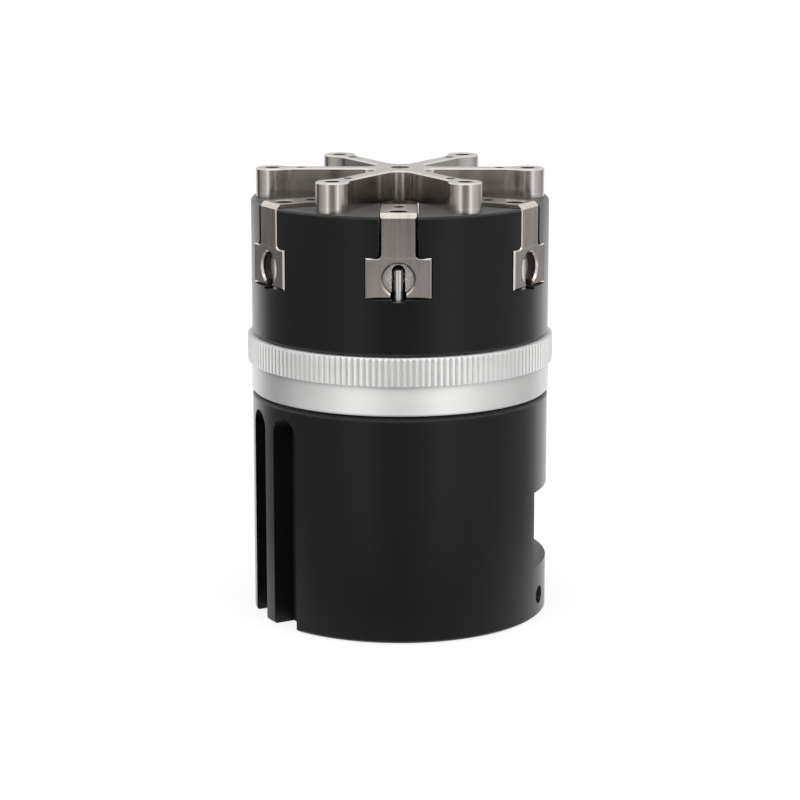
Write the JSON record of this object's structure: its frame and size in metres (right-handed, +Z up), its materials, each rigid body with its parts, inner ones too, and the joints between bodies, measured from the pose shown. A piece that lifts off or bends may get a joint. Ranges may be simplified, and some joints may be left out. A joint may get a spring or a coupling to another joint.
{
  "type": "pneumatic gripper",
  "caption": "Round pneumatic gripper with T-slot jaws that spread from the centre, a knurled adjusting ring and a star-shaped ejector on top.",
  "frame": {"origin": "centre of the mounting face, on the gripper's axis", "axes": "+Z up the axis towards the jaws, -Y towards the front jaw, +X towards the air-port flat"},
  "size_m": [0.0876, 0.0876, 0.1282],
  "materials": {
    "black_anodised": "satin",
    "natural_aluminium": "satin",
    "plain_aluminium": "satin",
    "ground_steel": "satin",
    "hardened_steel": "polished",
    "black_oxide_steel": "satin",
    "spring_steel": "satin",
    "sintered_steel": "matte",
    "seal_rubber": "matte",
    "magnet": "matte",
    "bush_bronze": "satin"
  },
  "bodies": {
    "housing": {"lower_housing": "black_anodised", "upper_housing": "black_anodised", "cylinder_cover": "plain_aluminium", "cylinder_cover_seal": "seal_rubber", "spread_rod_seal": "seal_rubber", "ejector_rod_seal": "seal_rubber", "end_cover": "plain_aluminium", "end_cover_seal": "seal_rubber", "retaining_ring": "black_oxide_steel", "head_screws": "black_oxide_steel", "housing_dowels": "hardened_steel", "spring_pins": "hardened_steel", "jaw_spring_1": "spring_steel", "jaw_spring_2": "spring_steel", "jaw_spring_3": "spring_steel", "jaw_spring_4": "spring_steel", "jaw_spring_5": "spring_steel", "jaw_spring_6": "spring_steel"},
    "ring": {"adjusting_ring": "natural_aluminium"},
    "sleeve": {"stop_sleeve": "plain_aluminium"},
    "spread": {"spread_piston": "plain_aluminium", "spread_piston_seal": "seal_rubber", "spread_piston_magnet": "magnet", "spreader": "hardened_steel", "spreader_nut": "black_oxide_steel", "rod_bush": "bush_bronze"},
    "ejector": {"ejector_star": "ground_steel", "ejector_guide_pins": "hardened_steel", "ejector_rod": "hardened_steel", "ejector_piston": "plain_aluminium", "ejector_piston_seal": "seal_rubber", "ejector_piston_magnet": "magnet", "ejector_nut": "black_oxide_steel"},
    "jaw_1_body": {"jaw_1": "ground_steel", "spring_retainer_1": "sintered_steel"},
    "jaw_2_body": {"jaw_2": "ground_steel", "spring_retainer_2": "sintered_steel"},
    "jaw_3_body": {"jaw_3": "ground_steel", "spring_retainer_3": "sintered_steel"},
    "jaw_4_body": {"jaw_4": "ground_steel", "spring_retainer_4": "sintered_steel"},
    "jaw_5_body": {"jaw_5": "ground_steel", "spring_retainer_5": "sintered_steel"},
    "jaw_6_body": {"jaw_6": "ground_steel", "spring_retainer_6": "sintered_steel"}
  },
  "joints": [
    {"name": "spread_slide", "type": "slide", "parent": "housing", "child": "spread", "axis": [0, 0, 1], "range_m": [0, 0.008], "stiffness_N_per_m": 3000, "springref_m": -0.004},
    {"name": "eject_slide", "type": "slide", "parent": "housing", "child": "ejector", "axis": [0, 0, 1], "range_m": [0, 0.009]},
    {"name": "ring_turn", "type": "hinge", "parent": "housing", "child": "ring", "pos_m": [0, 0, 0.0729], "axis": [0, 0, 1], "range_deg": [0, 360]},
    {"name": "sleeve_slide", "type": "slide", "parent": "housing", "child": "sleeve", "axis": [0, 0, 1], "range_m": [-0.004, 0]},
    {"name": "jaw_1_slide", "type": "slide", "parent": "housing", "child": "jaw_1_body", "axis": [0, -1, 0], "range_m": [0, 0.006], "deforming": ["jaw_spring_1"]},
    {"name": "jaw_2_slide", "type": "slide", "parent": "housing", "child": "jaw_2_body", "axis": [0.866, -0.5, 0], "range_m": [0, 0.006], "deforming": ["jaw_spring_2"]},
    {"name": "jaw_3_slide", "type": "slide", "parent": "housing", "child": "jaw_3_body", "axis": [0.866, 0.5, 0], "range_m": [0, 0.006], "deforming": ["jaw_spring_3"]},
    {"name": "jaw_4_slide", "type": "slide", "parent": "housing", "child": "jaw_4_body", "axis": [0, 1, 0], "range_m": [0, 0.006], "deforming": ["jaw_spring_4"]},
    {"name": "jaw_5_slide", "type": "slide", "parent": "housing", "child": "jaw_5_body", "axis": [-0.866, 0.5, 0], "range_m": [0, 0.006], "deforming": ["jaw_spring_5"]},
    {"name": "jaw_6_slide", "type": "slide", "parent": "housing", "child": "jaw_6_body", "axis": [-0.866, -0.5, 0], "range_m": [0, 0.006], "deforming": ["jaw_spring_6"]}
  ],
  "couplings": [
    {"joint": "sleeve_slide", "follows": "ring_turn", "m_per_rad": -0.00063662},
    {"joint": "jaw_1_slide", "follows": "spread_slide", "ratio": 0.75},
    {"joint": "jaw_2_slide", "follows": "spread_slide", "ratio": 0.75},
    {"joint": "jaw_3_slide", "follows": "spread_slide", "ratio": 0.75},
    {"joint": "jaw_4_slide", "follows": "spread_slide", "ratio": 0.75},
    {"joint": "jaw_5_slide", "follows": "spread_slide", "ratio": 0.75},
    {"joint": "jaw_6_slide", "follows": "spread_slide", "ratio": 0.75}
  ]
}
